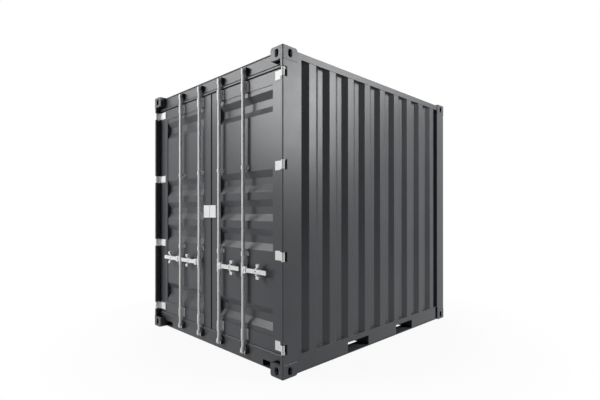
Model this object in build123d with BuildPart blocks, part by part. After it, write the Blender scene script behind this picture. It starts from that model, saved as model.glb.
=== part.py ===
"""Ten foot high-cube steel shipping container with two cargo doors and their locking gear.

Sizes are in millimetres. Z is up, the width runs along X and the length along Y, and the doors are
at the -Y end. The origin is at the middle of the footprint, on the ground. Most pieces are drawn
for the +X side, which is on the right when facing the doors, and mirrored for the other side.
"""
import os

from build123d import *

os.makedirs("parts", exist_ok=True)

# Overall size
length = 2991
width = 2438
height = 2896
edge_round = 8
side_x = width / 2
end_y = length / 2

# Corner castings
casting_x = 162
casting_y = 178
casting_z = 118
casting_wall = 27
casting_inner_wall = 20
casting_round = 24
side_hole_width = 51
side_hole_height = 76
top_hole_width = 63.5
top_hole_length = 124
casting_inner_x = side_x - casting_x
casting_top_z = height - casting_z

# Rear corner posts, a box column with a hooked lip that guards the hinges
post_inset = 2
post_plate = 8
lip_width = 32
seal_depth = 128
column_depth_x = 49
column_wall = 6
rear_post_depth = 227
post_x = side_x - post_inset
column_x = side_x - column_depth_x
lip_y = -end_y + post_inset
seal_y = -end_y + seal_depth
rear_post_y = -end_y + rear_post_depth

# Front corner posts
front_post_depth = 185
front_post_width = 100
front_post_return = 40
front_post_neck = 68
front_post_wall = 6
front_post_y = end_y - front_post_depth
front_post_x = side_x - front_post_width

# Side rails
bottom_rail_z = 12
bottom_rail_top = 175
bottom_rail_inset = 8
bottom_rail_plate = 4.5
bottom_rail_top_flange = 48
bottom_rail_low_flange = 35
bottom_rail_kerb = 5
bottom_rail_low_plate = 8
bottom_web_end_gap = 46
top_rail_size = 60
top_rail_inset = 6
top_rail_plate = 4
top_rail_drop = 20
rail_end_y = end_y - casting_y
bottom_rail_x = side_x - bottom_rail_inset
bottom_web_x = bottom_rail_x - bottom_rail_plate
top_rail_top = height - top_rail_drop
top_rail_z = top_rail_top - top_rail_size
top_rail_x = side_x - top_rail_inset
top_rail_inner_x = top_rail_x - top_rail_size

# Corrugated steel sheets
sheet = 2
fold_radius = 6
side_crest_inset = 8
side_depth = 36
side_pitch = 285
side_crest = 92
side_flank = 65
side_first_flat = 44
side_last_flat = 12
front_crest_inset = 8
front_depth = 45
front_pitch = 250
front_flank = 18
front_valley = 104
front_end_flat = 60
roof_depth = 20
roof_pitch = 209
roof_flank = 14
roof_valley = 90
roof_end_flat = 100

# Front end rails
front_rail_inset = 8
front_rail_depth = 60
front_rail_plate = 4
front_bottom_top = 160
front_rail_y = end_y - front_rail_inset
front_rail_back_y = front_rail_y - front_rail_depth

# Door header and sill, set back from the casting faces to leave room for the locking gear
door_recess = 70
frame_depth = 80
frame_plate = 4
header_drop = 21
header_face = 109
header_slope = 20
header_edge = 12
header_lip_out = 12
canopy_plate = 5
canopy_recess = 60
sill_z = 14
sill_step = 1
notch_width = 189
notch_z = 24
notch_top = 80
notch_depth = 60
nosing = 8
nosing_height = 22
nosing_chamfer = 6
header_top = height - header_drop
header_bend_z = header_top - header_face
header_lip_z = header_bend_z - header_slope
header_z = header_lip_z - header_edge
sill_top = bottom_rail_top + sill_step
frame_y = -end_y + door_recess
frame_back_y = frame_y + frame_depth

# Floor
floor_thickness = 28
floor_gap = 3
floor_z = sill_top - floor_thickness
beam_height = 122
beam_width = 45
beam_plate = 4
beam_pitch = 230
middle_beam_pitch = 175
beam_z = floor_z - beam_height

# Forklift pockets
pocket_spacing = 900
pocket_width = 355
pocket_top = 120
pocket_plate = 6
pocket_offset = 35
pocket_floor_reach = 165
pocket_beam_gap = 151.5
pocket_z = bottom_rail_z + bottom_rail_low_plate

# Door leaves
leaf_gap = 10
leaf_side_gap = 23
leaf_sill_gap = 8
leaf_header_gap = 12
leaf_depth = 50
leaf_plate = 3
inner_stile = 142
outer_stile = 176
bottom_rail_height = 136
top_rail_height = 114
panel_recess = 6
groove_depth = 36
groove_valley = 72
groove_flank = 64
groove_pitch = 275
groove_margin = 146
strip_edge_gap = 1
strip_width = 37
strip_plate = 3
strip_end_gap = 4
strip_box_gap = 6
leaf_outer_x = post_x - post_plate - leaf_side_gap
leaf_z = sill_top + leaf_sill_gap
leaf_top = header_z - leaf_header_gap
leaf_back_y = frame_y + leaf_depth
panel_inner_x = leaf_gap + inner_stile
panel_outer_x = leaf_outer_x - outer_stile
panel_z = leaf_z + bottom_rail_height
panel_top = leaf_top - top_rail_height
panel_middle_z = (panel_z + panel_top) / 2
groove_centres = (
    panel_z + groove_margin,
    panel_middle_z - groove_pitch,
    panel_middle_z,
    panel_middle_z + groove_pitch,
    panel_top - groove_margin,
)

# Rubber gaskets round the leaves
gasket_front = 26
gasket_back = 2
gasket_hinge_side = 14
gasket_middle = 5
gasket_top = 6
gasket_bottom = 3

# Hinges
hinge_count = 4
hinge_from_bottom = 68
hinge_from_top = 53
hinge_height = 80
hinge_gap = 5
hinge_notch_depth = 56
pin_inset = 19
pin_radius = 8
pin_clearance = 0.05
eye_radius = 15
blade = 8
blade_reach = 136
blade_bend = 40
blade_bend_radius = 20
lug = 16
lug_gap = 1.5
lug_reach = 36
pin_x = side_x - pin_inset
pin_y = -end_y + pin_inset
blade_inner_x = leaf_outer_x - blade_reach
hinge_z = leaf_z + hinge_from_bottom
hinge_pitch = (leaf_top - hinge_from_top - hinge_z) / (hinge_count - 1)
hinge_heights = [hinge_z + i * hinge_pitch for i in range(hinge_count)]

# Locking bars
bar_positions = (195, 612)
bar_recess = 35
bar_radius = 17
bar_wall = 4
bar_end_gap = 8
vent_radius = 4
bar_y = -end_y + bar_recess

# Cams on the bar ends and the keepers they turn in
cam_radius = 24
cam_length = 44
cam_nose = 15
cap_radius = 22
cap_length = 12
keeper_half = 41
keeper_plate = 6
keeper_cheek = 10
keeper_gap = 7
keeper_reach = 30
keeper_round = 14
keeper_top_gap = 30
top_keeper_height = 73
keeper_sill_gap = 26
low_keeper_height = 75
top_keeper_top = header_top - keeper_top_gap
top_keeper_z = top_keeper_top - top_keeper_height
low_keeper_top = sill_top - keeper_sill_gap
low_keeper_z = low_keeper_top - low_keeper_height
bar_low = low_keeper_z + bar_end_gap
bar_high = top_keeper_top - bar_end_gap

# Guides that carry the bars on the leaves
guide_places = (
    (leaf_z + 78, 106),
    (panel_middle_z - 420, 42),
    (panel_middle_z + 416, 34),
    (leaf_top - 60, 96),
)
guide_radius = 22
guide_clearance = 0.08
guide_half = 40
guide_plate = 6
guide_web = 26

# Handles, hubs and catches
handle_drop = 572
handle_length = 364
handle_height = 42
handle_plate = 10
handle_recess = 14
hub_radius = 21
hub_length = 136
tongue_reach = 50
tongue_height = 44
fork_start = 24
fork_end = 66
fork_height = 64
fork_cheek = 6
pivot_reach = 36
pivot_radius = 6
catch_offset = 210
catch_plate = 8
catch_back_gap = 6
catch_gap = 7
catch_recess = 12
catch_stand_width = 20
catch_stand_height = 32
catch_root = 12
catch_stem = 8
catch_lean = 32
catch_head = 44
catch_head_width = 42
catch_head_height = 26
seal_hole_radius = 9
handle_z = panel_middle_z - handle_drop

# Lock box over the meeting stiles, one half on each leaf
box_gap = 3.5
box_width = 112
box_height = 133
box_below_middle = 77
box_depth = 26
box_plate = 4
box_outer_x = box_gap + box_width
box_low = panel_middle_z - box_below_middle
box_high = box_low + box_height


def write_pair(piece, name):
    """Writes a +X piece and its mirror image as two nodes."""
    with BuildPart() as twin:
        mirror(piece, about=Plane.YZ)
    for side, shape in (("right", piece), ("left", twin.part)):
        shape.label = f"{name}_{side}"
        export_step(shape, f"parts/{name}_{side}.step")


def write_both(piece, name):
    """Writes a +X piece and its mirror image as one node."""
    with BuildPart() as both:
        add(piece)
        mirror(piece, about=Plane.YZ)
    both.part.label = name
    export_step(both.part, f"parts/{name}.step")


def box_between(low, high, mode=Mode.ADD):
    """Adds or cuts a block that is given by two opposite corners."""
    size = [b - a for a, b in zip(low, high)]
    middle = [(a + b) / 2 for a, b in zip(low, high)]
    with Locations(tuple(middle)):
        Box(*size, mode=mode)


# Corner castings, hollow blocks with an opening in each outer face
with BuildPart() as casting:
    Box(casting_x, casting_y, casting_z, align=(Align.MAX, Align.MIN, Align.MIN))
    far_x = casting.edges().filter_by(Axis.Y).group_by(Axis.X)[0].sort_by(Axis.Z)[0]
    far_y = casting.edges().filter_by(Axis.X).group_by(Axis.Y)[-1].sort_by(Axis.Z)[0]
    fillet([far_x, far_y], casting_round)
    near_edge = casting.edges().filter_by(Axis.Z).group_by(Axis.X)[-1].sort_by(Axis.Y)[0]
    fillet(near_edge, edge_round)
    box_between(
        (-casting_x + casting_inner_wall, casting_wall, casting_wall),
        (-casting_wall, casting_y - casting_inner_wall, casting_z - casting_inner_wall),
        Mode.SUBTRACT,
    )
    with BuildSketch(Plane.XZ):
        with Locations((-casting_x / 2, casting_z / 2)):
            SlotOverall(side_hole_height, side_hole_width, rotation=90)
    extrude(amount=-2 * casting_wall, mode=Mode.SUBTRACT)
    with BuildSketch(Plane.YZ):
        with Locations((casting_y / 2, casting_z / 2)):
            SlotOverall(side_hole_height, side_hole_width, rotation=90)
    extrude(amount=-2 * casting_wall, mode=Mode.SUBTRACT)
    with BuildSketch(Plane.XY):
        with Locations((-casting_x / 2, casting_y / 2)):
            SlotOverall(top_hole_length, top_hole_width, rotation=90)
    extrude(amount=2 * casting_wall, mode=Mode.SUBTRACT)

for end in ("rear", "front"):
    for level in ("bottom", "top"):
        with BuildPart() as corner:
            shape = casting.part.moved(Location((side_x, -end_y, 0)))
            if end == "front":
                shape = shape.mirror(Plane.XZ)
            if level == "top":
                shape = shape.mirror(Plane.XY.offset(height / 2))
            add(shape)
        write_both(corner.part, f"{level}_castings_{end}")

# Rear corner posts
with BuildPart() as rear_post:
    with BuildSketch(Plane.XY.offset(casting_z)):
        with BuildLine():
            Polyline(
                (post_x, lip_y),
                (post_x - lip_width, lip_y),
                (post_x - lip_width, lip_y + post_plate),
                (post_x - post_plate, lip_y + post_plate),
                (post_x - post_plate, seal_y),
                (column_x, seal_y),
                (column_x, rear_post_y),
                (post_x, rear_post_y),
                close=True,
            )
        make_face()
        with BuildLine():
            Polyline(
                (post_x - post_plate, seal_y + column_wall),
                (column_x + column_wall, seal_y + column_wall),
                (column_x + column_wall, rear_post_y - column_wall),
                (post_x - post_plate, rear_post_y - column_wall),
                close=True,
            )
        make_face(mode=Mode.SUBTRACT)
    extrude(amount=top_rail_z - casting_z)
    fillet(rear_post.edges().filter_by(Axis.Z).group_by(Axis.X)[-1].sort_by(Axis.Y)[0], edge_round)
    box_between(
        (column_x, -end_y, casting_top_z),
        (side_x, -rail_end_y, top_rail_z),
        Mode.SUBTRACT,
    )
    box_between(
        (column_x, -rail_end_y, casting_z),
        (side_x, rear_post_y, bottom_rail_top),
        Mode.SUBTRACT,
    )
    for z in hinge_heights:
        reach = hinge_height / 2 + hinge_gap
        box_between(
            (post_x - lip_width, -end_y, z - reach),
            (side_x, -end_y + hinge_notch_depth, z + reach),
            Mode.SUBTRACT,
        )
write_pair(rear_post.part, "rear_post")

# Front corner posts
with BuildPart() as front_post:
    with BuildSketch(Plane.XY.offset(casting_z)):
        with BuildLine():
            Polyline(
                (post_x, end_y - post_inset),
                (front_post_x, end_y - post_inset),
                (front_post_x, end_y - front_post_return),
                (column_x, end_y - front_post_neck),
                (column_x, front_post_y),
                (post_x, front_post_y),
                close=True,
            )
        make_face()
        offset(amount=-front_post_wall, mode=Mode.SUBTRACT)
    extrude(amount=top_rail_z - casting_z)
    fillet(front_post.edges().filter_by(Axis.Z).group_by(Axis.X)[-1].sort_by(Axis.Y)[-1], edge_round)
    box_between(
        (front_post_x, rail_end_y, casting_top_z),
        (side_x, end_y, top_rail_z),
        Mode.SUBTRACT,
    )
    box_between(
        (front_post_x, front_post_y, casting_z),
        (side_x, rail_end_y, bottom_rail_top),
        Mode.SUBTRACT,
    )
write_pair(front_post.part, "front_post")

# Bottom side rails, channels with the pockets cut through the web and a plate under each pocket
with BuildPart() as bottom_rail:
    with BuildSketch(Plane.XZ.offset(-rail_end_y)):
        with BuildLine():
            Polyline(
                (bottom_rail_x, bottom_rail_top),
                (bottom_rail_x, pocket_z),
                (bottom_rail_x + bottom_rail_kerb, pocket_z),
                (bottom_rail_x + bottom_rail_kerb, bottom_rail_z),
                (bottom_rail_x - bottom_rail_low_flange, bottom_rail_z),
                (bottom_rail_x - bottom_rail_low_flange, pocket_z),
                (bottom_web_x, pocket_z),
                (bottom_web_x, bottom_rail_top - bottom_rail_plate),
                (bottom_rail_x - bottom_rail_top_flange, bottom_rail_top - bottom_rail_plate),
                (bottom_rail_x - bottom_rail_top_flange, bottom_rail_top),
                close=True,
            )
        make_face()
    extrude(amount=2 * rail_end_y)
    box_between(
        (bottom_web_x, rail_end_y - bottom_web_end_gap, pocket_z),
        (side_x, rail_end_y, bottom_rail_top - bottom_rail_plate),
        Mode.SUBTRACT,
    )
    for sign in (-1, 1):
        middle_y = pocket_offset + sign * pocket_spacing / 2
        box_between(
            (bottom_web_x, middle_y - pocket_width / 2, pocket_z),
            (bottom_rail_x, middle_y + pocket_width / 2, pocket_top),
            Mode.SUBTRACT,
        )
        box_between(
            (side_x - pocket_floor_reach, middle_y - pocket_width / 2 - pocket_plate, bottom_rail_z),
            (bottom_web_x, middle_y + pocket_width / 2 + pocket_plate, pocket_z),
        )
write_pair(bottom_rail.part, "bottom_side_rail")

# Top side rails, square tubes between the castings
with BuildPart() as top_rail:
    with BuildSketch(Plane.XZ.offset(-rail_end_y)):
        with Locations((top_rail_x - top_rail_size / 2, top_rail_z + top_rail_size / 2)):
            Rectangle(top_rail_size, top_rail_size)
        offset(amount=-top_rail_plate, mode=Mode.SUBTRACT)
    extrude(amount=2 * rail_end_y)
write_both(top_rail.part, "top_side_rails")

# Side walls, vertical corrugations between the posts
crest_x = side_x - side_crest_inset
valley_x = crest_x - side_depth
first_crest_y = rear_post_y + side_first_flat + side_flank
side_run = front_post_y - side_last_flat - side_flank - side_crest - first_crest_y
side_points = [(valley_x, rear_post_y)]
for i in range(int(side_run // side_pitch) + 1):
    start = first_crest_y + i * side_pitch
    side_points += [
        (valley_x, start - side_flank),
        (crest_x, start),
        (crest_x, start + side_crest),
        (valley_x, start + side_crest + side_flank),
    ]
side_points.append((valley_x, front_post_y))
with BuildPart() as side_wall:
    with BuildSketch(Plane.XY.offset(bottom_rail_top)):
        with BuildLine():
            FilletPolyline(*side_points, radius=fold_radius)
            offset(amount=sheet, side=Side.LEFT)
        make_face()
    extrude(amount=top_rail_z - bottom_rail_top)
write_pair(side_wall.part, "side_wall")

# Front end wall
front_crest_y = end_y - front_crest_inset
front_valley_y = front_crest_y - front_depth
front_run = 2 * (front_post_x - front_end_flat - front_flank) - front_valley
front_count = int(front_run // front_pitch) + 1
front_points = [(front_post_x, front_crest_y)]
for i in range(front_count):
    middle = ((front_count - 1) / 2 - i) * front_pitch
    front_points += [
        (middle + front_valley / 2 + front_flank, front_crest_y),
        (middle + front_valley / 2, front_valley_y),
        (middle - front_valley / 2, front_valley_y),
        (middle - front_valley / 2 - front_flank, front_crest_y),
    ]
front_points.append((-front_post_x, front_crest_y))
with BuildPart() as front_wall:
    with BuildSketch(Plane.XY.offset(front_bottom_top)):
        with BuildLine():
            FilletPolyline(*front_points, radius=fold_radius)
            offset(amount=sheet, side=Side.LEFT)
        make_face()
    extrude(amount=casting_top_z - front_bottom_top)
front_wall.part.label = "front_wall"
export_step(front_wall.part, "parts/front_wall.step")

# Front end rails, tubes that close the frame above and below the end wall
with BuildPart() as front_top_rail:
    with BuildSketch(Plane.YZ):
        with Locations((front_rail_y - front_rail_depth / 2, (casting_top_z + top_rail_top) / 2)):
            Rectangle(front_rail_depth, top_rail_top - casting_top_z)
        offset(amount=-front_rail_plate, mode=Mode.SUBTRACT)
    extrude(amount=casting_inner_x, both=True)
front_top_rail.part.label = "front_top_rail"
export_step(front_top_rail.part, "parts/front_top_rail.step")

with BuildPart() as front_bottom_rail:
    box_between(
        (-casting_inner_x, front_rail_back_y, bottom_rail_z),
        (casting_inner_x, front_rail_y, casting_z),
    )
    box_between(
        (-front_post_x, front_rail_back_y, casting_z),
        (front_post_x, front_rail_y, front_bottom_top),
    )
    box_between(
        (-front_post_x, front_rail_back_y + front_rail_plate, bottom_rail_z + front_rail_plate),
        (front_post_x, front_rail_y - front_rail_plate, front_bottom_top - front_rail_plate),
        Mode.SUBTRACT,
    )
    box_between(
        (-column_x, front_rail_back_y, casting_z),
        (-front_post_x, front_rail_y, front_bottom_top),
        Mode.SUBTRACT,
    )
front_bottom_rail.part.label = "front_bottom_rail"
export_step(front_bottom_rail.part, "parts/front_bottom_rail.step")

# Roof, a sheet with cross corrugations set between the top rails
roof_crest_z = top_rail_top
roof_valley_z = roof_crest_z - roof_depth
roof_points = [(frame_back_y, roof_crest_z)]
roof_middle_y = (frame_back_y + front_rail_back_y) / 2
roof_ends = 2 * (roof_end_flat + roof_flank) + roof_valley
roof_count = int((front_rail_back_y - frame_back_y - roof_ends) // roof_pitch) + 1
for i in range(roof_count):
    middle = roof_middle_y + (i - (roof_count - 1) / 2) * roof_pitch
    roof_points += [
        (middle - roof_valley / 2 - roof_flank, roof_crest_z),
        (middle - roof_valley / 2, roof_valley_z),
        (middle + roof_valley / 2, roof_valley_z),
        (middle + roof_valley / 2 + roof_flank, roof_crest_z),
    ]
roof_points.append((front_rail_back_y, roof_crest_z))
with BuildPart() as roof:
    with BuildSketch(Plane.YZ):
        with BuildLine():
            FilletPolyline(*roof_points, radius=fold_radius)
            offset(amount=sheet, side=Side.RIGHT)
        make_face()
    extrude(amount=top_rail_inner_x, both=True)
    for sign_x in (-1, 1):
        for sign_y in (-1, 1):
            low_x, high_x = sorted((sign_x * casting_inner_x, sign_x * side_x))
            low_y, high_y = sorted((sign_y * rail_end_y, sign_y * end_y))
            box_between((low_x, low_y, casting_top_z), (high_x, high_y, height), Mode.SUBTRACT)
roof.part.label = "roof"
export_step(roof.part, "parts/roof.step")

# Door header, a folded box with a sloping lip and a thin canopy over the locking gear
header_outline = (
    (frame_y, header_top),
    (frame_y, header_bend_z),
    (frame_y - header_lip_out, header_lip_z),
    (frame_y - header_lip_out, header_z),
    (frame_back_y, header_z),
    (frame_back_y, header_top),
)
with BuildPart() as header:
    with BuildSketch(Plane.YZ):
        with BuildLine():
            Polyline(*header_outline, close=True)
        make_face()
    extrude(amount=post_x - post_plate, both=True)
    for sign in (-1, 1):
        low_x, high_x = sorted((sign * casting_inner_x, sign * side_x))
        box_between((low_x, -end_y, casting_top_z), (high_x, -rail_end_y, height), Mode.SUBTRACT)
        low_x, high_x = sorted((sign * column_x, sign * side_x))
        box_between((low_x, seal_y, header_z), (high_x, rear_post_y, casting_top_z), Mode.SUBTRACT)
    with BuildSketch(Plane.YZ):
        with BuildLine():
            Polyline(*header_outline, close=True)
        make_face()
        offset(amount=-frame_plate, kind=Kind.INTERSECTION, mode=Mode.REPLACE)
    extrude(amount=casting_inner_x, both=True, mode=Mode.SUBTRACT)
    box_between(
        (-casting_inner_x, -end_y + canopy_recess, header_top),
        (casting_inner_x, frame_back_y, header_top + canopy_plate),
    )
header.part.label = "door_header"
export_step(header.part, "parts/door_header.step")

# Door sill, a box with a nosing along its top and a notch beside each casting
with BuildPart() as sill:
    box_between((-casting_inner_x, frame_y, sill_z), (casting_inner_x, frame_back_y, casting_z))
    box_between(
        (-post_x + post_plate, frame_y, casting_z), (post_x - post_plate, frame_back_y, sill_top)
    )
    box_between(
        (-post_x + lip_width, frame_y - nosing, sill_top - nosing_height),
        (post_x - lip_width, frame_y, sill_top),
    )
    chamfer(sill.edges().filter_by(Axis.X).group_by(Axis.Y)[0].sort_by(Axis.Z)[-1], nosing_chamfer)
    box_between(
        (-casting_inner_x, frame_y + frame_plate, sill_z + frame_plate),
        (casting_inner_x, frame_back_y - frame_plate, sill_top - frame_plate),
        Mode.SUBTRACT,
    )
    for sign in (-1, 1):
        low_x, high_x = sorted((sign * column_x, sign * side_x))
        box_between((low_x, seal_y, casting_z), (high_x, rear_post_y, sill_top), Mode.SUBTRACT)
        low_x, high_x = sorted((sign * casting_inner_x, sign * (casting_inner_x - notch_width)))
        box_between(
            (low_x, frame_y, notch_z), (high_x, frame_y + notch_depth, notch_top), Mode.SUBTRACT
        )
sill.part.label = "door_sill"
export_step(sill.part, "parts/door_sill.step")

# Floor deck and the channels that carry it
with BuildPart() as floor_deck:
    deck_x = bottom_rail_x - bottom_rail_top_flange - floor_gap
    box_between((-deck_x, frame_back_y, floor_z), (deck_x, front_rail_back_y, sill_top))
floor_deck.part.label = "floor_deck"
export_step(floor_deck.part, "parts/floor_deck.step")

outer_beam_y = pocket_spacing / 2 + pocket_width / 2 + pocket_plate + pocket_beam_gap
outer_beam_count = int((-frame_back_y - beam_width - outer_beam_y) // beam_pitch) + 1
outer_beams = [outer_beam_y + i * beam_pitch for i in range(outer_beam_count)]
half_beams = [middle_beam_pitch] + outer_beams
with BuildPart() as cross_members:
    with BuildSketch(Plane.YZ) as channel:
        for y in [-beam for beam in half_beams] + [0] + half_beams:
            with Locations((y, beam_z + beam_height / 2)):
                Rectangle(beam_width, beam_height)
            with Locations((y + beam_plate, beam_z + beam_height / 2)):
                Rectangle(beam_width, beam_height - 2 * beam_plate, mode=Mode.SUBTRACT)
    extrude(amount=bottom_web_x, both=True)
cross_members.part.label = "cross_members"
export_step(cross_members.part, "parts/cross_members.step")

with BuildPart() as pocket_tunnels:
    for sign in (-1, 1):
        middle_y = pocket_offset + sign * pocket_spacing / 2
        inner = pocket_width / 2
        outer = inner + pocket_plate
        box_between(
            (-bottom_web_x, middle_y - outer, pocket_z),
            (bottom_web_x, middle_y + outer, pocket_top + pocket_plate),
        )
        box_between(
            (-bottom_web_x, middle_y - inner, pocket_z),
            (bottom_web_x, middle_y + inner, pocket_top),
            Mode.SUBTRACT,
        )
pocket_tunnels.part.label = "fork_pocket_tunnels"
export_step(pocket_tunnels.part, "parts/fork_pocket_tunnels.step")

# Hinge pins, each held by a lug above and below its notch in the post
with BuildPart() as hinge_pins:
    for z in hinge_heights:
        lug_low = hinge_height / 2 + lug_gap
        lug_high = lug_low + lug
        with BuildSketch(Plane.XY.offset(z - lug_high)):
            with Locations((pin_x, pin_y)):
                Circle(pin_radius)
        extrude(amount=2 * lug_high)
        for bottom in (z - lug_high, z + lug_low):
            box_between(
                (post_x - lip_width, lip_y + post_plate, bottom),
                (post_x - post_plate, -end_y + lug_reach, bottom + lug),
            )
write_both(hinge_pins.part, "hinge_pins")

# Hinge blades, welded to the leaf and curled round the pins
with BuildPart() as hinges:
    for z in hinge_heights:
        with BuildSketch(Plane.XY.offset(z - hinge_height / 2)):
            blade_y = frame_y - blade / 2
            with BuildLine():
                FilletPolyline(
                    (pin_x, pin_y),
                    (pin_x - blade_bend, blade_y),
                    (blade_inner_x, blade_y),
                    radius=blade_bend_radius,
                )
            trace(line_width=blade)
            with Locations((pin_x, pin_y)):
                Circle(eye_radius)
                Circle(pin_radius + pin_clearance, mode=Mode.SUBTRACT)
        extrude(amount=hinge_height)
write_pair(hinges.part, "door_hinges")

# Door leaves, a hollow frame of box stiles and rails round a pressed sheet
panel_crest_y = frame_y + panel_recess
panel_valley_y = panel_crest_y + groove_depth
panel_points = [(panel_crest_y, panel_z)]
for z in groove_centres:
    half = groove_valley / 2
    panel_points += [
        (panel_crest_y, z - half - groove_flank),
        (panel_valley_y, z - half),
        (panel_valley_y, z + half),
        (panel_crest_y, z + half + groove_flank),
    ]
panel_points.append((panel_crest_y, panel_top))
with BuildPart() as leaf:
    box_between((leaf_gap, frame_y, leaf_z), (leaf_outer_x, leaf_back_y, leaf_top))
    box_between(
        (panel_inner_x, frame_y, panel_z), (panel_outer_x, leaf_back_y, panel_top), Mode.SUBTRACT
    )
    with BuildSketch(Plane.XZ.offset(-frame_y - leaf_plate)):
        with Locations(((leaf_gap + leaf_outer_x) / 2, (leaf_z + leaf_top) / 2)):
            Rectangle(
                leaf_outer_x - leaf_gap - 2 * leaf_plate, leaf_top - leaf_z - 2 * leaf_plate
            )
        with Locations(((panel_inner_x + panel_outer_x) / 2, (panel_z + panel_top) / 2)):
            Rectangle(
                panel_outer_x - panel_inner_x + 2 * leaf_plate,
                panel_top - panel_z + 2 * leaf_plate,
                mode=Mode.SUBTRACT,
            )
        for middle_x in (
            (leaf_gap + panel_inner_x) / 2,
            (panel_outer_x + leaf_outer_x) / 2,
        ):
            with Locations((middle_x, leaf_top - leaf_plate)):
                Rectangle(leaf_depth - 2 * leaf_plate, 4 * leaf_plate)
    extrude(amount=-(leaf_depth - 2 * leaf_plate), mode=Mode.SUBTRACT)
    with BuildSketch(Plane.YZ.offset(panel_inner_x)):
        with BuildLine():
            FilletPolyline(*panel_points, radius=fold_radius)
            offset(amount=sheet, side=Side.RIGHT)
        make_face()
    extrude(amount=panel_outer_x - panel_inner_x)
write_pair(leaf.part, "door_leaf")

# Strip along the middle edge of the left leaf, left open behind the lock box
with BuildPart() as strip:
    for low, high in (
        (leaf_z + strip_end_gap, box_low - strip_box_gap),
        (box_high + strip_box_gap, leaf_top - strip_end_gap),
    ):
        box_between(
            (-leaf_gap - strip_edge_gap - strip_width, frame_y - strip_plate, low),
            (-leaf_gap - strip_edge_gap, frame_y, high),
        )
strip.part.label = "meeting_strip"
export_step(strip.part, "parts/meeting_strip.step")

# Gaskets round the leaves
with BuildPart() as gasket:
    box_between(
        (leaf_gap - gasket_middle, frame_y + gasket_front, leaf_z - gasket_bottom),
        (leaf_outer_x + gasket_hinge_side, leaf_back_y + gasket_back, leaf_top + gasket_top),
    )
    box_between(
        (leaf_gap, frame_y, leaf_z), (leaf_outer_x, leaf_back_y + gasket_back, leaf_top), Mode.SUBTRACT
    )
write_pair(gasket.part, "door_gasket")

# Bar guides, a sleeve on a plate, four for each bar
with BuildPart() as guides:
    for x in bar_positions:
        for z, tall in guide_places:
            seat_y = panel_crest_y if panel_z < z < panel_top else frame_y
            with BuildSketch(Plane.XY.offset(z - tall / 2)):
                with Locations((x, bar_y)):
                    Circle(guide_radius)
                with Locations((x, (bar_y + seat_y) / 2)):
                    Rectangle(guide_web, seat_y - bar_y)
                with Locations((x, seat_y - guide_plate / 2)):
                    Rectangle(2 * guide_half, guide_plate)
                with Locations((x, bar_y)):
                    Circle(bar_radius + guide_clearance, mode=Mode.SUBTRACT)
            extrude(amount=tall)
write_pair(guides.part, "bar_guides")

# Keepers on the header and the sill, two cheeks that the cam turns between
cheek_in = cam_radius + keeper_gap
keeper_front_y = -end_y + keeper_reach
with BuildPart() as keepers:
    for x in bar_positions:
        for low, high, tip in (
            (top_keeper_z, top_keeper_top, top_keeper_top),
            (low_keeper_z, low_keeper_top, low_keeper_z),
        ):
            box_between(
                (x - keeper_half, frame_y - keeper_plate, low),
                (x + keeper_half, frame_y, high),
            )
            root = low + high - tip
            for side in (-1, 1):
                start = x + side * cheek_in
                with BuildSketch(Plane.YZ.offset(start)):
                    with BuildLine():
                        Polyline(
                            (frame_y - keeper_plate, tip),
                            (keeper_front_y, tip),
                            (keeper_front_y, (tip + root) / 2),
                            (frame_y - keeper_plate, root),
                            close=True,
                        )
                    make_face()
                    fillet(vertices().group_by(Axis.X)[0], keeper_round)
                extrude(amount=side * keeper_cheek)
write_both(keepers.part, "cam_keepers")

# Handle catches, a fork on a stand whose two heads hold the handle from above and below
catch_y = -end_y + handle_recess + handle_plate + catch_back_gap
near = handle_height / 2 + catch_gap
head_z = catch_head + catch_head_height / 2
with BuildPart() as catches:
    for x in bar_positions:
        middle = x + catch_offset
        head_x = middle + catch_lean
        with Locations((middle, (catch_y + panel_crest_y) / 2, handle_z)):
            Box(catch_stand_width, panel_crest_y - catch_y, catch_stand_height)
        with BuildSketch(Plane.XZ.offset(-catch_y - catch_plate)):
            with Locations((middle, handle_z)):
                Rectangle(2 * catch_root, 2 * near)
            for sign in (-1, 1):
                with BuildLine():
                    Polyline(
                        (middle - catch_root, handle_z + sign * near),
                        (middle + catch_root, handle_z + sign * near),
                        (head_x + catch_stem, handle_z + sign * catch_head),
                        (head_x - catch_stem, handle_z + sign * catch_head),
                        close=True,
                    )
                make_face()
        extrude(amount=catch_plate)
        with BuildSketch(Plane.XZ.offset(-catch_y - catch_plate)):
            for sign in (-1, 1):
                with BuildLine():
                    Polyline(
                        (middle - catch_stem, handle_z + sign * near),
                        (middle + catch_root, handle_z + sign * near),
                        (head_x + catch_stem, handle_z + sign * catch_head),
                        (head_x - catch_stem, handle_z + sign * catch_head),
                        close=True,
                    )
                make_face()
                with Locations((head_x, handle_z + sign * head_z)):
                    Rectangle(catch_head_width, catch_head_height)
        extrude(amount=catch_y + catch_plate + end_y - catch_recess)
write_pair(catches.part, "handle_catches")

# Lock box halves, folded covers that are open below
with BuildPart() as lock_box:
    box_between((box_gap, frame_y - box_depth, box_low), (box_outer_x, frame_y, box_high))
    box_between(
        (box_gap + box_plate, frame_y - box_depth + box_plate, box_low),
        (box_outer_x - box_plate, frame_y, box_high - box_plate),
        Mode.SUBTRACT,
    )
write_pair(lock_box.part, "lock_box")

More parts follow.
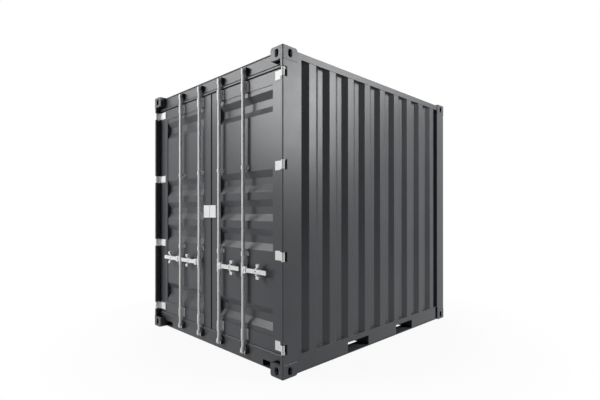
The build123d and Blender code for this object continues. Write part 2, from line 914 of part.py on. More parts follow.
# Locking bars with their end cams and hub, and the handles on their pivots
for place, bar_x in zip(("inner", "outer"), bar_positions):
    tongue_y = -end_y + handle_recess + handle_plate / 2
    with BuildPart() as bar:
        with BuildSketch(Plane.XY.offset(bar_low)):
            with Locations((bar_x, bar_y)):
                Circle(bar_radius)
        extrude(amount=bar_high - bar_low)
        with BuildSketch(Plane.XY.offset(handle_z - hub_length / 2)):
            with Locations((bar_x, bar_y)):
                Circle(hub_radius)
        extrude(amount=hub_length)
        for cam_z, cap_z in (
            (bar_low + cap_length, bar_low),
            (bar_high - cap_length - cam_length, bar_high - cap_length),
        ):
            with BuildSketch(Plane.XY.offset(cam_z)):
                with Locations((bar_x, bar_y)):
                    Circle(cam_radius)
                with Locations((bar_x, bar_y)):
                    Rectangle(2 * cam_nose, 4 * cam_radius, mode=Mode.INTERSECT)
                with Locations((bar_x, bar_y)):
                    Circle(bar_radius)
            extrude(amount=cam_length)
            with BuildSketch(Plane.XY.offset(cap_z)):
                with Locations((bar_x, bar_y)):
                    Circle(cap_radius)
            extrude(amount=cap_length)
        box_between(
            (bar_x, tongue_y - handle_plate / 2, handle_z - tongue_height / 2),
            (bar_x + tongue_reach, tongue_y + handle_plate / 2, handle_z + tongue_height / 2),
        )
        with Locations(Location((bar_x + pivot_reach, tongue_y, handle_z), (90, 0, 0))):
            Cylinder(pivot_radius, 2 * handle_plate, mode=Mode.SUBTRACT)
        with Locations((bar_x, bar_y, (bar_low + bar_high) / 2)):
            Cylinder(bar_radius - bar_wall, bar_high - bar_low - 2 * cap_length, mode=Mode.SUBTRACT)
            Cylinder(vent_radius, bar_high - bar_low, mode=Mode.SUBTRACT)
    write_pair(bar.part, f"locking_bar_{place}")

    with BuildPart() as handle:
        box_between(
            (bar_x + tongue_reach, tongue_y - handle_plate / 2, handle_z - handle_height / 2),
            (bar_x + handle_length, tongue_y + handle_plate / 2, handle_z + handle_height / 2),
        )
        tip = handle.edges().filter_by(Axis.Y).group_by(Axis.X)[-1]
        fillet(tip, handle_height / 4)
        for side in (-1, 1):
            cheek_y = tongue_y + side * (handle_plate + fork_cheek) / 2
            box_between(
                (bar_x + fork_start, cheek_y - fork_cheek / 2, handle_z - fork_height / 2),
                (bar_x + fork_end, cheek_y + fork_cheek / 2, handle_z + fork_height / 2),
            )
        with Locations(Location((bar_x + pivot_reach, tongue_y, handle_z), (90, 0, 0))):
            Cylinder(pivot_radius, handle_plate)
        with Locations(Location((bar_x + catch_offset, tongue_y, handle_z), (90, 0, 0))):
            Cylinder(seal_hole_radius, 2 * handle_plate, mode=Mode.SUBTRACT)
    write_pair(handle.part, f"handle_{place}")
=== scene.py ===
"""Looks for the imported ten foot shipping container: paint, galvanised gear, welds, bolts and light.

Everything is in metres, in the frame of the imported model: Z up, width along X, length along Y, and
the doors at -Y. The photograph is taken from the door end, from the +X side.
"""
import math

import bmesh
import bpy
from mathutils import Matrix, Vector


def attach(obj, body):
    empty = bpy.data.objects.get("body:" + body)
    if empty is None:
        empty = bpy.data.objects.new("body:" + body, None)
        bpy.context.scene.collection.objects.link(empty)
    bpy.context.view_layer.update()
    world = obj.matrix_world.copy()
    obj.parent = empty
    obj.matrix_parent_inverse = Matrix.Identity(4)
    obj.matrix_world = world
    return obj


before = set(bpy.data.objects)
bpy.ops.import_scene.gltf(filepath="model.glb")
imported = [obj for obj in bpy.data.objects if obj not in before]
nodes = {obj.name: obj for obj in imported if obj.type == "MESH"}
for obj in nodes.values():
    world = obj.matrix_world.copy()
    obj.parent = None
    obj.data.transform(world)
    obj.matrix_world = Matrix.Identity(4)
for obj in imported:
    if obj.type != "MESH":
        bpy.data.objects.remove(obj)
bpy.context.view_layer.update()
scene = bpy.context.scene

# Sizes that are repeated from the part's source
HALF_WIDTH = 1.219
HALF_LENGTH = 1.4955
HEIGHT = 2.896
CASTING_TOP = 0.118
CASTING_LENGTH = 0.178
POST_X = 1.217
POST_Y = 1.4935
LIP_WIDTH = 0.032
FRONT_POST_WIDTH = 0.100
WALL_CREST_X = 1.211
WALL_VALLEY_X = 1.175
WALL_START_Y = -1.2685
WALL_END_Y = 1.3105
WALL_FIRST_CREST_Y = -1.1595
WALL_PITCH = 0.285
WALL_CREST = 0.092
WALL_FLANK = 0.065
WALL_CRESTS = 9
WALL_LOW = 0.175
WALL_HIGH = 2.816
DOOR_Y = -1.4255
PANEL_Y = -1.4195
BARS_X = (0.195, 0.612)
HANDLE_Z = 0.892
HANDLE_FRONT_Y = -1.4875
PIVOT_REACH = 0.036
CATCH_FRONT_Y = -1.4835
CATCH_HEAD_OFFSET = 0.242
CATCH_HEAD_Z = 0.057
HINGES_Z = (0.252, 1.05767, 1.86333, 2.669)
HINGE_HALF = 0.040
BLADE_INNER_X = 1.050
SILL_TOP = 0.176
FLOOR_TOP = SILL_TOP
LEAF_EDGE_X = 0.010
LEAF_OUTER_X = 1.186
LEAF_LOW = 0.184
LEAF_HIGH = 2.722
PANEL_LOW = 0.320
PANEL_HIGH = 2.608
NOSING_Y = -1.4275
KEEPER_FRONT_Y = -1.4655

# Sides, the way out of the doors, and sizes and places of what is added here
SIDES = {"right": 1, "left": -1}
OUTWARDS = (0, -1, 0)
HEAVY_BEAD = 0.0028
CASTING_BEAD = 0.0026
SEAM_BEAD = 0.0022
EDGE_BEAD = 0.0020
FINE_BEAD = 0.0014
BEAD_SEAT = 0.0005
BLADE_WELD_X = 1.140
NOSING_SEAM_END_X = 1.165
BOLT_SIZE = 0.0055
BOLT_SIDE = 0.031
BOLT_MARGIN = 0.013
TOP_LIP_START_X = 0.014
TOP_LIP_END_GAP = 0.004
MEETING_LIP_END_GAP = 0.006
MEETING_LIP_SCALE = 1.04
LIP_Y = DOOR_Y + 0.006
CASTING_SEAM_Y = (-1.4755, -1.3180)
KEEPER_LIP_Z = 0.096
KEEPER_LIP_SEAT = 0.002
KEEPER_LIP_DEPTH = 0.004
SCREW_ROWS_Y = (-1.30, -0.95, -0.72, 0.80, 1.05, 1.30)
SCREW_PITCH = 0.15
SCREW_STAGGER = 0.03
GROUND_HALF = 40.0
GROUND_DROP = 0.0005

# Where painted shade or a finish changes: (axis, middle, half) of a box round the castings' cavity,
# which is painted dark as shade, the height between the two rows of keepers, and half a floor board's
# width
CASTING_INSIDE = (("X", 1.127, 0.0655), ("Y", 1.3955, 0.0735))
KEEPERS_PART_Z = 1.4
BOARD_HALF = 0.15

# Colours, linear, shares of them, and the sky's strength as a light; the cavity and keeper shares are
# painted shade
PAINT = (0.072, 0.0755, 0.083)
PAINT_DARK = (0.052, 0.054, 0.058)
ZINC = (0.88, 0.88, 0.885)
RUBBER = (0.012, 0.012, 0.013)
PLY = (0.30, 0.17, 0.085)
FLOOR_GREY = 0.62
SKY_FILL = 0.03
# Painted shade: the share of the colour left inside the castings' cavity and on the keepers of sill and
# header
CAVITY_SHADE_SHARE = 0.12
LOW_KEEPER_SHADE = 0.75
HIGH_KEEPER_SHADE = 0.35


class Nodes:
    """Short ways to add and join shader nodes in one material."""

    def __init__(self, name):
        self.material = bpy.data.materials.new(name)
        self.material.use_nodes = True
        self.tree = self.material.node_tree
        self.shader = self.tree.nodes["Principled BSDF"]

    def add(self, kind, **values):
        node = self.tree.nodes.new(kind)
        for key, value in values.items():
            if hasattr(node, key):
                setattr(node, key, value)
            else:
                node.inputs[key.replace("_", " ")].default_value = value
        return node

    def link(self, source, target):
        self.tree.links.new(source, target)

    def place(self, scale=(1, 1, 1)):
        """Object coordinates in metres, stretched by scale."""
        coordinates = self.add("ShaderNodeTexCoord")
        mapping = self.add("ShaderNodeMapping")
        mapping.inputs["Scale"].default_value = scale
        self.link(coordinates.outputs["Object"], mapping.inputs["Vector"])
        return mapping.outputs["Vector"]

    def noise(self, scale, detail=2.0, rough=0.5, stretch=(1, 1, 1)):
        node = self.add("ShaderNodeTexNoise", Scale=scale, Detail=detail, Roughness=rough)
        self.link(self.place(stretch), node.inputs["Vector"])
        return node.outputs["Fac"]

    def ramp(self, source, stops):
        node = self.add("ShaderNodeValToRGB")
        ramp = node.color_ramp
        while len(ramp.elements) < len(stops):
            ramp.elements.new(0.5)
        for element, (place, value) in zip(ramp.elements, stops):
            element.position = place
            element.color = (*value, 1)
        self.link(source, node.inputs["Fac"])
        return node.outputs["Color"]

    def spread(self, source, low, high):
        """Maps 0 to 1 onto low to high."""
        node = self.add("ShaderNodeMapRange")
        node.inputs["To Min"].default_value = low
        node.inputs["To Max"].default_value = high
        self.link(source, node.inputs["Value"])
        return node.outputs["Result"]

    def bump(self, source, distance, below=None):
        node = self.add("ShaderNodeBump", Distance=distance, Strength=1.0)
        self.link(source, node.inputs["Height"])
        if below is not None:
            self.link(below, node.inputs["Normal"])
        return node.outputs["Normal"]


def shade(color, share):
    return tuple(min(1.0, c * share) for c in color)


def paint(name, color, roughness, specular, grain, waves=0.0):
    """Sprayed enamel: faint clouding, orange peel and, on sheets, a slow waviness."""
    m = Nodes(name)
    clouds = m.noise(1.7, 4.0, 0.6)
    colour = m.ramp(clouds, [(0.3, shade(color, 0.93)), (0.7, shade(color, 1.07))])
    m.link(colour, m.shader.inputs["Base Color"])
    patches = m.noise(9.0, 5.0, 0.65)
    m.link(m.spread(patches, roughness - 0.05, roughness + 0.05), m.shader.inputs["Roughness"])
    m.shader.inputs["Specular IOR Level"].default_value = specular
    normal = m.bump(m.noise(520.0, 2.0), grain)
    if waves:
        normal = m.bump(m.noise(5.0, 1.0), waves, below=normal)
    m.link(normal, m.shader.inputs["Normal"])
    return m.material


def cast_paint(name, color):
    """Paint over cast steel, with the sand grain showing through, and painted shade inside the cavity:
    a much darker colour and no reflection there.
    """
    m = Nodes(name)
    clouds = m.noise(14.0, 5.0, 0.6)
    colour = m.ramp(clouds, [(0.3, shade(color, 0.9)), (0.7, shade(color, 1.08))])
    axes = m.add("ShaderNodeSeparateXYZ")
    m.link(m.place(), axes.inputs["Vector"])
    inner = None
    for axis, middle, half in CASTING_INSIDE:
        size = m.add("ShaderNodeMath", operation="ABSOLUTE")
        m.link(axes.outputs[axis], size.inputs[0])
        within = m.add("ShaderNodeMath", operation="COMPARE")
        within.inputs[1].default_value = middle
        within.inputs[2].default_value = half
        m.link(size.outputs["Value"], within.inputs[0])
        if inner is None:
            inner = within
        else:
            both = m.add("ShaderNodeMath", operation="MULTIPLY")
            m.link(inner.outputs["Value"], both.inputs[0])
            m.link(within.outputs["Value"], both.inputs[1])
            inner = both
    # Painted shade: inside the cavity's box the colour drops to a small share of the paint's
    cavity_shade = m.add("ShaderNodeMix", data_type="RGBA")
    m.link(inner.outputs["Value"], cavity_shade.inputs["Factor"])
    m.link(colour, cavity_shade.inputs["A"])
    cavity_shade.inputs["B"].default_value = (*shade(color, CAVITY_SHADE_SHARE), 1)
    m.link(cavity_shade.outputs["Result"], m.shader.inputs["Base Color"])
    m.link(m.spread(inner.outputs["Value"], 0.25, 0.0), m.shader.inputs["Specular IOR Level"])
    m.link(m.spread(m.noise(60.0, 3.0), 0.28, 0.38), m.shader.inputs["Roughness"])
    sand = m.bump(m.noise(260.0, 4.0, 0.6), 0.0002)
    m.link(m.bump(m.noise(38.0, 2.0), 0.0004, below=sand), m.shader.inputs["Normal"])
    return m.material


def keeper_with_painted_shade(name, color):
    """Enamel with painted shade: a little darker on the sill's keepers and much darker on the header's,
    which sit in shade.
    """
    m = Nodes(name)
    axes = m.add("ShaderNodeSeparateXYZ")
    m.link(m.place(), axes.inputs["Vector"])
    # Painted shade: keepers above this height get the darker share of the colour, those below the
    # lighter
    high = m.add("ShaderNodeMath", operation="GREATER_THAN")
    high.inputs[1].default_value = KEEPERS_PART_Z
    m.link(axes.outputs["Z"], high.inputs[0])
    colour = m.ramp(high.outputs["Value"], [
        (0.0, shade(color, LOW_KEEPER_SHADE)), (1.0, shade(color, HIGH_KEEPER_SHADE)),
    ])
    m.link(colour, m.shader.inputs["Base Color"])
    m.link(m.spread(m.noise(9.0, 5.0, 0.65), 0.35, 0.45), m.shader.inputs["Roughness"])
    m.shader.inputs["Specular IOR Level"].default_value = 0.2
    m.link(m.bump(m.noise(520.0, 2.0), 0.00005), m.shader.inputs["Normal"])
    return m.material


def galvanised(name, color, roughness):
    """Light zinc coat with a faint spangle and small runs."""
    m = Nodes(name)
    cells = m.add("ShaderNodeTexVoronoi", Scale=95.0)
    m.link(m.place((1, 1, 0.6)), cells.inputs["Vector"])
    spangle = m.ramp(cells.outputs["Color"], [(0.2, shade(color, 0.975)), (0.8, shade(color, 1.02))])
    clouds = m.ramp(m.noise(16.0, 5.0, 0.6), [(0.3, (0.965,) * 3), (0.65, (1.0,) * 3)])
    mix = m.add("ShaderNodeMix", data_type="RGBA", blend_type="MULTIPLY")
    mix.inputs["Factor"].default_value = 1.0
    m.link(spangle, mix.inputs["A"])
    m.link(clouds, mix.inputs["B"])
    m.link(mix.outputs["Result"], m.shader.inputs["Base Color"])
    m.link(m.spread(m.noise(70.0, 3.0), roughness - 0.06, roughness + 0.06),
           m.shader.inputs["Roughness"])
    m.shader.inputs["Specular IOR Level"].default_value = 0.4
    m.link(m.bump(m.noise(320.0, 3.0), 0.00006), m.shader.inputs["Normal"])
    return m.material


def rubber(name):
    m = Nodes(name)
    colour = m.ramp(m.noise(30.0, 4.0), [(0.3, RUBBER), (0.7, shade(RUBBER, 1.8))])
    m.link(colour, m.shader.inputs["Base Color"])
    m.link(m.spread(m.noise(90.0), 0.5, 0.65), m.shader.inputs["Roughness"])
    m.link(m.bump(m.noise(700.0), 0.0002), m.shader.inputs["Normal"])
    return m.material


def plywood(name):
    """Floor boards along Y: grain, a dark seam every 0.3 m and light scuffs."""
    m = Nodes(name)
    grain = m.noise(9.0, 8.0, 0.62, (9, 0.5, 9))
    colour = m.ramp(grain, [(0.25, shade(PLY, 0.62)), (0.5, PLY), (0.75, shade(PLY, 1.35))])
    axes = m.add("ShaderNodeSeparateXYZ")
    m.link(m.place(), axes.inputs["Vector"])
    board = m.add("ShaderNodeMath", operation="PINGPONG")
    board.inputs[1].default_value = BOARD_HALF
    m.link(axes.outputs["X"], board.inputs[0])
    seam = m.ramp(board.outputs["Value"], [
        (0.0, (1, 1, 1)), (0.145, (1, 1, 1)), (0.149, (0.2,) * 3),
    ])
    mix = m.add("ShaderNodeMix", data_type="RGBA", blend_type="MULTIPLY")
    mix.inputs["Factor"].default_value = 1.0
    m.link(colour, mix.inputs["A"])
    m.link(seam, mix.inputs["B"])
    m.link(mix.outputs["Result"], m.shader.inputs["Base Color"])
    m.link(m.spread(m.noise(12.0, 4.0), 0.45, 0.7), m.shader.inputs["Roughness"])
    m.link(m.bump(grain, 0.0006), m.shader.inputs["Normal"])
    return m.material


wall_paint = paint("wall_paint", PAINT, 0.30, 0.25, 0.00002, 0.0008)
frame_paint = paint("frame_paint", PAINT, 0.32, 0.25, 0.00003)
door_paint = paint("door_paint", PAINT, 0.30, 0.25, 0.00002, 0.0005)
casting_paint = cast_paint("casting_paint", PAINT)
under_paint = paint("under_paint", PAINT_DARK, 0.62, 0.2, 0.0002)
zinc = galvanised("zinc", ZINC, 0.40)
# Keepers' enamel with painted shade, darkest on the header's
keeper_shaded_paint = keeper_with_painted_shade("keeper_shaded_paint", PAINT)
lip_paint = paint("lip_paint", shade(PAINT, 0.45), 0.50, 0.2, 0.00005)
# Painted highlight: a paint far lighter than the body's, for the lit ledges of two seams
seam_highlight_paint = paint("seam_highlight_paint", shade(PAINT, 4.2), 0.35, 0.25, 0.00005)
seal_rubber = rubber("seal_rubber")
floor_ply = plywood("floor_ply")

FINISHES = {
    "side_wall": wall_paint,
    "front_wall": wall_paint,
    "roof": wall_paint,
    "door_leaf": door_paint,
    "meeting_strip": door_paint,
    "door_header": frame_paint,
    "door_sill": frame_paint,
    "rear_post": frame_paint,
    "front_post": frame_paint,
    "top_side_rails": frame_paint,
    "bottom_side_rail": frame_paint,
    "front_top_rail": frame_paint,
    "front_bottom_rail": frame_paint,
    "top_castings": casting_paint,
    "bottom_castings": casting_paint,
    "cross_members": under_paint,
    "fork_pocket_tunnels": under_paint,
    "floor_deck": floor_ply,
    "door_gasket": seal_rubber,
    "cam_keepers": keeper_shaded_paint,
    "hinge_pins": frame_paint,
    "door_hinges": zinc,
    "bar_guides": zinc,
    "locking_bar": zinc,
    "handle": zinc,
    "lock_box": zinc,
}
for name, node in nodes.items():
    finish = next(m for start, m in FINISHES.items() if name.startswith(start))
    for slot in node.material_slots:
        slot.material = finish


def finished(bm, name, body, material, smooth=True):
    """Makes a piece of a bmesh and lets it ride on its body."""
    bmesh.ops.recalc_face_normals(bm, faces=bm.faces)
    mesh = bpy.data.meshes.new(name)
    bm.to_mesh(mesh)
    bm.free()
    if smooth:
        mesh.shade_smooth()
    else:
        mesh.shade_flat()
    mesh.materials.append(material)
    piece = bpy.data.objects.new(name, mesh)
    scene.collection.objects.link(piece)
    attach(piece, body)


def on_side(side, points):
    """Points of the right side as they are, or mirrored across to the left."""
    return points if side == "right" else [Vector((-p[0], p[1], p[2])) for p in points]


def skin(bm, rings):
    """Joins a row of closed vertex rings into a solid with flat ends."""
    for one, two in zip(rings, rings[1:]):
        for k in range(len(one)):
            n = (k + 1) % len(one)
            bm.faces.new((one[k], one[n], two[n], two[k]))
    bm.faces.new(list(reversed(rings[0])))
    bm.faces.new(rings[-1])


def bead(bm, points, radius, step=0.008, sides=6):
    """A weld bead along a line of corners: a thin closed tube with ripples."""
    run = []
    for a, b in zip(points, points[1:]):
        a, b = Vector(a), Vector(b)
        count = max(1, round((b - a).length / step))
        run += [a.lerp(b, i / count) for i in range(count)]
    run.append(Vector(points[-1]))
    rings = []
    for i, p in enumerate(run):
        ahead = (run[min(i + 1, len(run) - 1)] - run[max(i - 1, 0)]).normalized()
        side = ahead.orthogonal() if abs(ahead.z) > 0.9 else ahead.cross(Vector((0, 0, 1)))
        side.normalize()
        up = side.cross(ahead)
        r = radius * (1.0 + 0.16 * math.sin(i * 2.4) + 0.08 * math.sin(i * 0.73))
        if i in (0, len(run) - 1):
            r *= 0.5
        ring = []
        for k in range(sides):
            a = 2 * math.pi * k / sides
            ring.append(bm.verts.new(p + r * (math.cos(a) * side + math.sin(a) * up)))
        rings.append(ring)
    skin(bm, rings)


def turned(bm, centre, axis, profile, sides=12):
    """A small turned part: profile is (height along axis, radius) from its seat outwards."""
    axis = Vector(axis).normalized()
    across = axis.orthogonal().normalized()
    other = axis.cross(across)
    rings = []
    for height, radius in profile:
        ring = []
        for k in range(sides):
            a = 2 * math.pi * k / sides
            out = math.cos(a) * across + math.sin(a) * other
            ring.append(bm.verts.new(Vector(centre) + height * axis + radius * out))
        rings.append(ring)
    skin(bm, rings)


def strip(bm, start, end, section):
    """A closed strip from start to end; section is a closed row of (side, side) offsets."""
    along = (Vector(end) - Vector(start)).normalized()
    across = Vector((1, 0, 0)) if abs(along.z) > 0.9 else Vector((0, 0, 1))
    rings = [
        [bm.verts.new(Vector(p) + a * across + Vector((0, b, 0))) for a, b in section]
        for p in (start, end)
    ]
    skin(bm, rings)


def bolt(bm, centre):
    """A round headed bolt on a thin washer, on a face that looks out of the doors."""
    turned(bm, centre, OUTWARDS, [
        (-0.001, BOLT_SIZE * 1.25), (0.0015, BOLT_SIZE * 1.25), (0.0015, BOLT_SIZE),
        (BOLT_SIZE * 0.45, BOLT_SIZE * 0.95), (BOLT_SIZE * 0.75, BOLT_SIZE * 0.7),
        (BOLT_SIZE * 0.9, BOLT_SIZE * 0.3),
    ])


def wall_line(z, out):
    """The folded line of the right wall's outer face at a height."""
    points = [(WALL_VALLEY_X + out, WALL_START_Y, z)]
    for i in range(WALL_CRESTS):
        y = WALL_FIRST_CREST_Y + i * WALL_PITCH
        points += [
            (WALL_VALLEY_X + out, y - WALL_FLANK, z),
            (WALL_CREST_X + out, y, z),
            (WALL_CREST_X + out, y + WALL_CREST, z),
            (WALL_VALLEY_X + out, y + WALL_CREST + WALL_FLANK, z),
        ]
    points.append((WALL_VALLEY_X + out, WALL_END_Y, z))
    return points


# Weld beads where the side walls and the castings meet the frame
for side in SIDES:
    welds = bmesh.new()
    bead(welds, on_side(side, wall_line(WALL_LOW + BEAD_SEAT, BEAD_SEAT)), HEAVY_BEAD)
    bead(welds, on_side(side, wall_line(WALL_HIGH - BEAD_SEAT, BEAD_SEAT)), SEAM_BEAD)
    for y in (WALL_START_Y, WALL_END_Y):
        edge = [(WALL_VALLEY_X, y, WALL_LOW), (WALL_VALLEY_X, y, WALL_HIGH)]
        bead(welds, on_side(side, edge), EDGE_BEAD)
    finished(welds, f"wall_welds_{side}", "container", frame_paint)

    seams = bmesh.new()
    for z in (CASTING_TOP, HEIGHT - CASTING_TOP):
        bead(seams, on_side(side, [
            (POST_X - LIP_WIDTH, -POST_Y, z), (POST_X, -POST_Y, z),
            (POST_X, -HALF_LENGTH + CASTING_LENGTH, z),
        ]), SEAM_BEAD)
        bead(seams, on_side(side, [
            (HALF_WIDTH - FRONT_POST_WIDTH, POST_Y, z), (POST_X, POST_Y, z),
            (POST_X, HALF_LENGTH - CASTING_LENGTH, z),
        ]), SEAM_BEAD)
    finished(seams, f"casting_welds_{side}", "container", frame_paint)

# Bolts of the bar guides and catches, heads of the handle pivots, and welds round the hinge blades.
# A guide is (height, length, bolts in a column)
GUIDES = ((0.262, 0.106, 3), (1.044, 0.042, 1), (1.880, 0.034, 1), (2.662, 0.096, 3))
GUIDE_PLATE = 0.006
for side, sign in SIDES.items():
    heads = bmesh.new()
    for x in BARS_X:
        for z, tall, count in GUIDES:
            face_y = (PANEL_Y if PANEL_LOW < z < PANEL_HIGH else DOOR_Y) - GUIDE_PLATE
            for i in range(count):
                height = z + (i - (count - 1) / 2) * (tall - 2 * BOLT_MARGIN) / max(1, count - 1)
                for off in (-BOLT_SIDE, BOLT_SIDE):
                    bolt(heads, (sign * (x + off), face_y, height))
    finished(heads, f"door_bolts_{side}", f"{side}_door", zinc)

    pivots = {"inner": bmesh.new(), "outer": bmesh.new()}
    for x, place in zip(BARS_X, ("inner", "outer")):
        turned(pivots[place], (sign * (x + PIVOT_REACH), HANDLE_FRONT_Y, HANDLE_Z), OUTWARDS, [
            (-0.001, 0.0125), (0.0012, 0.0125), (0.0012, 0.0085), (0.0036, 0.0078), (0.0046, 0.005),
        ])
        finished(pivots[place], f"pivot_head_{place}_{side}", f"{side}_{place}_bar", zinc)

    catch_heads = bmesh.new()
    for x in BARS_X:
        for off in (-CATCH_HEAD_Z, CATCH_HEAD_Z):
            bolt(catch_heads, (sign * (x + CATCH_HEAD_OFFSET), CATCH_FRONT_Y, HANDLE_Z + off))
    finished(catch_heads, f"catch_bolts_{side}", f"{side}_door", zinc)

    hinge_welds = bmesh.new()
    for z in HINGES_Z:
        low, high = z - HINGE_HALF, z + HINGE_HALF
        bead(hinge_welds, on_side(side, [
            (BLADE_WELD_X, DOOR_Y, low), (BLADE_INNER_X, DOOR_Y, low),
            (BLADE_INNER_X, DOOR_Y, high), (BLADE_WELD_X, DOOR_Y, high),
        ]), HEAVY_BEAD)
    finished(hinge_welds, f"hinge_welds_{side}", f"{side}_door", zinc)

# Rubber lips over the top edge and along the meeting edge of each leaf
LIP_SECTION = ((-0.001, -0.003), (0.0045, -0.003), (0.0065, -0.0015), (0.0065, 0.0015),
               (0.0045, 0.003), (-0.001, 0.003))
for side, sign in SIDES.items():
    lip = bmesh.new()
    strip(lip, (sign * TOP_LIP_START_X, LIP_Y, LEAF_HIGH),
          (sign * (LEAF_OUTER_X - TOP_LIP_END_GAP), LIP_Y, LEAF_HIGH), LIP_SECTION)
    strip(lip, (sign * LEAF_EDGE_X, LIP_Y, LEAF_LOW + MEETING_LIP_END_GAP),
          (sign * LEAF_EDGE_X, LIP_Y, LEAF_HIGH - MEETING_LIP_END_GAP),
          [(-sign * MEETING_LIP_SCALE * a, b) for a, b in LIP_SECTION])
    finished(lip, f"seal_lip_{side}", f"{side}_door", lip_paint, smooth=False)

# Seams painted pale as a painted highlight, where ledges catch light from above: along the sill's
# nosing and on top of the rear bottom castings
highlight_seams = bmesh.new()
bead(highlight_seams, [(x, NOSING_Y, SILL_TOP) for x in (-NOSING_SEAM_END_X, NOSING_SEAM_END_X)], FINE_BEAD)
for sign in (-1, 1):
    bead(highlight_seams, [(sign * POST_X, y, CASTING_TOP) for y in CASTING_SEAM_Y], CASTING_BEAD)
finished(highlight_seams, "highlight_seams", "container", seam_highlight_paint)

# Flared lips on the cheeks of the sill's keepers, one on each side of a bar's foot
lips = bmesh.new()
KEEPER_LIP = ((0.031, 0.012), (0.0405, 0.019), (0.0385, 0.0), (0.0405, -0.019), (0.031, -0.012))
for bar_x in (-BARS_X[1], -BARS_X[0], *BARS_X):
    for way in (-1, 1):
        skin(lips, [
            [lips.verts.new((bar_x + way * x, y, KEEPER_LIP_Z + z)) for x, z in KEEPER_LIP]
            for y in (KEEPER_FRONT_Y + KEEPER_LIP_SEAT, KEEPER_FRONT_Y - KEEPER_LIP_DEPTH)
        ])
finished(lips, "keeper_lips", "container", zinc, smooth=False)

# Screws of the floor boards, in six rows across the floor
screws = bmesh.new()
for y in SCREW_ROWS_Y:
    for i in range(-7, 8):
        x = SCREW_PITCH * i + (SCREW_STAGGER if i % 2 else -SCREW_STAGGER)
        turned(screws, (x, y, FLOOR_TOP), (0, 0, 1), [
            (-0.002, 0.0052), (0.0002, 0.0052), (0.0006, 0.0042), (0.0006, 0.0016), (0.0001, 0.0012),
        ], 8)
finished(screws, "floor_screws", "container", zinc, smooth=False)

# Floor, world and light
white = (1, 1, 1, 1)


def seen_directly(tree):
    """1 for rays from the camera and for those that metal and glass send on."""
    path = tree.nodes.new("ShaderNodeLightPath")
    total = path.outputs["Is Camera Ray"]
    for name in ("Is Glossy Ray", "Is Transmission Ray"):
        plus = tree.nodes.new("ShaderNodeMath")
        plus.operation = "MAXIMUM"
        tree.links.new(total, plus.inputs[0])
        tree.links.new(path.outputs[name], plus.inputs[1])
        total = plus.outputs["Value"]
    return total


def stretched(tree, source, low, high):
    node = tree.nodes.new("ShaderNodeMapRange")
    node.inputs["To Min"].default_value = low
    node.inputs["To Max"].default_value = high
    tree.links.new(source, node.inputs["Value"])
    return node.outputs["Result"]


ground = bpy.data.meshes.new("ground")
corners = ((-1, -1), (1, -1), (1, 1), (-1, 1))
ground.from_pydata([(GROUND_HALF * x, GROUND_HALF * y, 0) for x, y in corners], [], [(0, 1, 2, 3)])
floor = bpy.data.objects.new("ground", ground)
floor.location.z = -GROUND_DROP
scene.collection.objects.link(floor)
floor_look = Nodes("pale_floor")
floor_look.shader.inputs["Base Color"].default_value = (FLOOR_GREY, FLOOR_GREY, FLOOR_GREY, 1)
floor_look.shader.inputs["Roughness"].default_value = 0.9
floor_look.shader.inputs["Specular IOR Level"].default_value = 0.0
glow = floor_look.add("ShaderNodeEmission", Color=white, Strength=1.0)
blend = floor_look.add("ShaderNodeMixShader")
# The glow is a little weaker near the object, so that its shadow stays
reach = floor_look.add("ShaderNodeVectorMath", operation="LENGTH")
floor_look.link(floor_look.place(), reach.inputs[0])
share = floor_look.add("ShaderNodeMapRange")
for socket, value in (("From Min", 1.7), ("From Max", 3.2), ("To Min", 0.93), ("To Max", 1.0)):
    share.inputs[socket].default_value = value
floor_look.link(reach.outputs["Value"], share.inputs["Value"])
seen = floor_look.add("ShaderNodeMath", operation="MULTIPLY")
floor_look.link(seen_directly(floor_look.tree), seen.inputs[0])
floor_look.link(share.outputs["Result"], seen.inputs[1])
floor_look.link(seen.outputs["Value"], blend.inputs["Fac"])
floor_look.link(floor_look.shader.outputs["BSDF"], blend.inputs[1])
floor_look.link(glow.outputs["Emission"], blend.inputs[2])
output = floor_look.tree.nodes["Material Output"]
floor_look.link(blend.outputs["Shader"], output.inputs["Surface"])
ground.materials.append(floor_look.material)

world = bpy.data.worlds.new("studio")
scene.world = world
world.use_nodes = True
sky = world.node_tree.nodes["Background"]
sky.inputs["Color"].default_value = white
world.node_tree.links.new(
    stretched(world.node_tree, seen_directly(world.node_tree), SKY_FILL, 1.0), sky.inputs["Strength"]
)


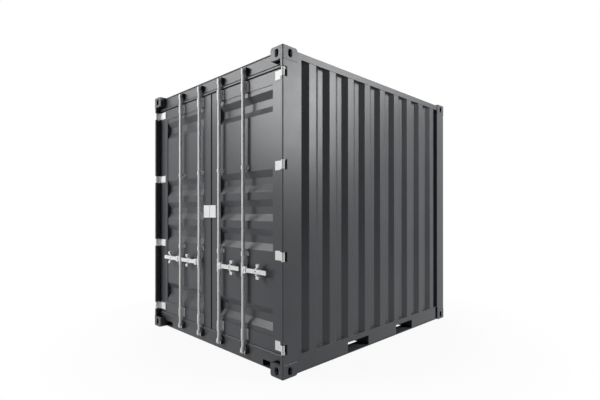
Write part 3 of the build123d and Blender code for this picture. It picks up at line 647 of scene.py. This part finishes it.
def flag(name, radius, start, stop, height, steps=24):
    """A dark curved screen behind the camera, from one bearing to another."""
    bm = bmesh.new()
    ring = []
    for i in range(steps + 1):
        a = math.radians(start + (stop - start) * i / steps)
        x, y = radius * math.cos(a), radius * math.sin(a)
        ring.append([bm.verts.new((x, y, z)) for z in (0.0, height)])
    for one, two in zip(ring, ring[1:]):
        bm.faces.new((one[0], two[0], two[1], one[1]))
    mesh = bpy.data.meshes.new(name)
    bm.to_mesh(mesh)
    bm.free()
    look = Nodes(name)
    look.shader.inputs["Base Color"].default_value = (0.005, 0.005, 0.005, 1)
    look.shader.inputs["Roughness"].default_value = 1.0
    look.shader.inputs["Specular IOR Level"].default_value = 0.0
    mesh.materials.append(look.material)
    screen = bpy.data.objects.new(name, mesh)
    screen.visible_camera = False
    scene.collection.objects.link(screen)


flag("dark_flag", radius=10.0, start=-78.0, stop=12.0, height=8.0)


def softbox(name, place, aim, size, radiance):
    """An area light of that radiance, so that its size doesn't change how bright it mirrors."""
    lamp = bpy.data.lights.new(name, "AREA")
    lamp.shape = "RECTANGLE"
    lamp.size, lamp.size_y = size
    lamp.energy = radiance * math.pi * size[0] * size[1]
    thing = bpy.data.objects.new(name, lamp)
    thing.location = place
    thing.rotation_euler = (Vector(aim) - Vector(place)).to_track_quat("-Z", "Y").to_euler()
    thing.visible_camera = False
    scene.collection.objects.link(thing)


AIM = (0.6, -0.7, 1.45)
BOX = (2.4, 2.4)
LAMPS = [
    ("side_middle", (7.345, 4.570, 4.231), AIM, BOX, 15.7),
    ("side_high", (6.862, 4.192, 5.675), AIM, BOX, 10.0),
    ("side_far", (5.044, 5.888, 5.675), AIM, BOX, 4.0),
    ("side_low", (7.623, 4.787, 2.703), AIM, BOX, 2.2),
    ("door_middle", (-4.670, -7.445, 4.231), AIM, BOX, 12.4),
    ("door_high", (-4.292, -6.962, 5.675), AIM, BOX, 10.3),
    ("door_left", (-5.988, -5.144, 5.675), AIM, BOX, 4.3),
    ("door_front", (-2.448, -9.075, 2.703), AIM, BOX, 5.6),
    ("back_light", (-8.0, 6.5, 6.0), (0.0, 0.0, 1.5), (5.0, 5.0), 7.0),
]
for lamp in LAMPS:
    softbox(*lamp)

# Camera at the photograph's place
camera = bpy.data.cameras.new("camera")
camera.sensor_width = 36.0
camera.lens = 24.41
camera.shift_y = 0.0183
eye = bpy.data.objects.new("camera", camera)
eye.location = (3.803, -3.850, 1.452)
eye.rotation_euler = (math.radians(90.08), 0.0, math.radians(45.23))
scene.collection.objects.link(eye)
scene.camera = eye

scene.view_settings.view_transform = "Standard"
